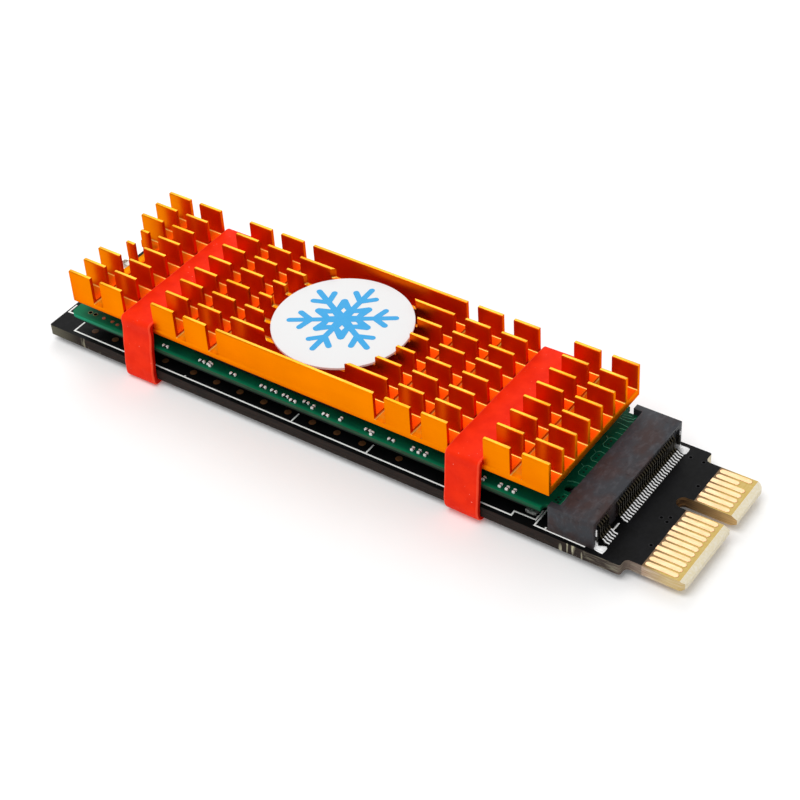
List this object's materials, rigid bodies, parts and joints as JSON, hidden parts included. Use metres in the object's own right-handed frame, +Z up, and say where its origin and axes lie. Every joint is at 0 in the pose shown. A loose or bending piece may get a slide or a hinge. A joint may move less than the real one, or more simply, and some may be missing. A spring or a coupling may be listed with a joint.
{
  "type": "nvme adapter card",
  "caption": "Slim card that carries a heatsinked M.2 drive held by silicone bands, with a keyed PCI Express x1 edge connector at one end.",
  "frame": {"origin": "middle of the footprint, on the surface that the bands rest on", "axes": "+X towards the gold edge contacts, +Y across the card, +Z up through the heatsink fins"},
  "size_m": [0.0994, 0.0254, 0.0134],
  "materials": {
    "black_solder_mask": "black solder mask on glass-epoxy laminate, satin",
    "hard_gold": "hard gold plate over nickel, polished",
    "ceramic_chip": "fired ceramic body with tinned ends",
    "socket_plastic": "moulded liquid-crystal polymer, fine matt grain",
    "tinned_contacts": "tin-plated copper alloy and reflowed solder",
    "green_solder_mask": "green solder mask, glossy",
    "chip_epoxy": "moulded black epoxy package",
    "gap_pad": "soft filled silicone gap pad",
    "orange_anodised": "orange anodised aluminium, satin, machined edges brighter",
    "label_white": "white printed vinyl label, smooth",
    "label_blue": "pale blue printing ink",
    "red_silicone": "red silicone rubber, soft satin",
    "nickel_plate": "nickel plate, bright"
  },
  "bodies": {
    "root": {"adapter_board": "black_solder_mask", "edge_contacts_top": "hard_gold", "edge_contacts_bottom": "hard_gold", "board_decoupler": "ceramic_chip", "socket_housing": "socket_plastic", "socket_contacts_upper": "tinned_contacts", "socket_contacts_lower": "tinned_contacts", "socket_board_locks": "tinned_contacts", "drive_board": "green_solder_mask", "drive_contacts_top": "hard_gold", "drive_contacts_bottom": "hard_gold", "drive_controller": "chip_epoxy", "drive_dram": "chip_epoxy", "drive_flash_chips": "chip_epoxy", "drive_regulator": "chip_epoxy", "drive_resistors": "ceramic_chip", "drive_capacitors": "ceramic_chip", "thermal_pad": "gap_pad", "heatsink": "orange_anodised", "label_disc": "label_white", "label_snowflake": "label_blue", "band_screw_end": "red_silicone", "band_socket_end": "red_silicone", "standoff": "nickel_plate", "retaining_screw": "nickel_plate"}
  },
  "joints": []
}
